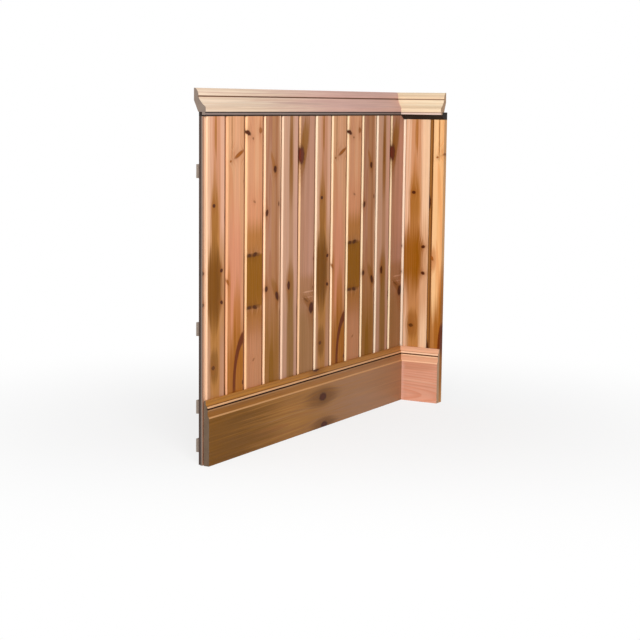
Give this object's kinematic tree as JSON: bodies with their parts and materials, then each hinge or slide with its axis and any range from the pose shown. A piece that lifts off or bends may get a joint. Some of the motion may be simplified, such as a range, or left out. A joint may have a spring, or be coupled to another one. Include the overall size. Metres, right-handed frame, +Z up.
{
  "type": "beadboard wall panelling corner",
  "caption": "Inside corner of knotty pine tongue-and-groove wall panelling with a sprung dado rail and a moulded skirting, on battens.",
  "frame": {"origin": "centre of the overall bounding box, at its lowest face", "axes": "+X along the long run towards the corner, +Y back towards the long run's wall, +Z up"},
  "size_m": [1.0846, 0.16, 0.906],
  "materials": {
    "pine_boards_left": "satin clear lacquer",
    "pine_boards_right": "satin clear lacquer",
    "pine_rail_left": "satin clear lacquer",
    "pine_rail_right": "satin clear lacquer",
    "pine_skirting_left": "satin clear lacquer",
    "pine_skirting_right": "satin clear lacquer",
    "batten_wood": "sawn, unfinished",
    "dark_strip": "matt dark stain"
  },
  "bodies": {
    "root": {"batten_left_1": "batten_wood", "batten_left_2": "batten_wood", "batten_left_3": "batten_wood", "batten_left_4": "batten_wood", "batten_right_1": "batten_wood", "batten_right_2": "batten_wood", "batten_right_3": "batten_wood", "batten_right_4": "batten_wood", "bed_strip_left": "dark_strip", "bed_strip_right": "dark_strip", "board_left_01": "pine_boards_left", "board_left_02": "pine_boards_left", "board_left_03": "pine_boards_left", "board_left_04": "pine_boards_left", "board_left_05": "pine_boards_left", "board_left_06": "pine_boards_left", "board_left_07": "pine_boards_left", "board_left_08": "pine_boards_left", "board_left_09": "pine_boards_left", "board_left_10": "pine_boards_left", "board_left_11": "pine_boards_left", "board_left_12": "pine_boards_left", "board_right_01": "pine_boards_right", "board_right_02": "pine_boards_right", "dado_rail_left": "pine_rail_left", "dado_rail_right": "pine_rail_right", "skirting_left": "pine_skirting_left", "skirting_right": "pine_skirting_right"}
  },
  "joints": []
}
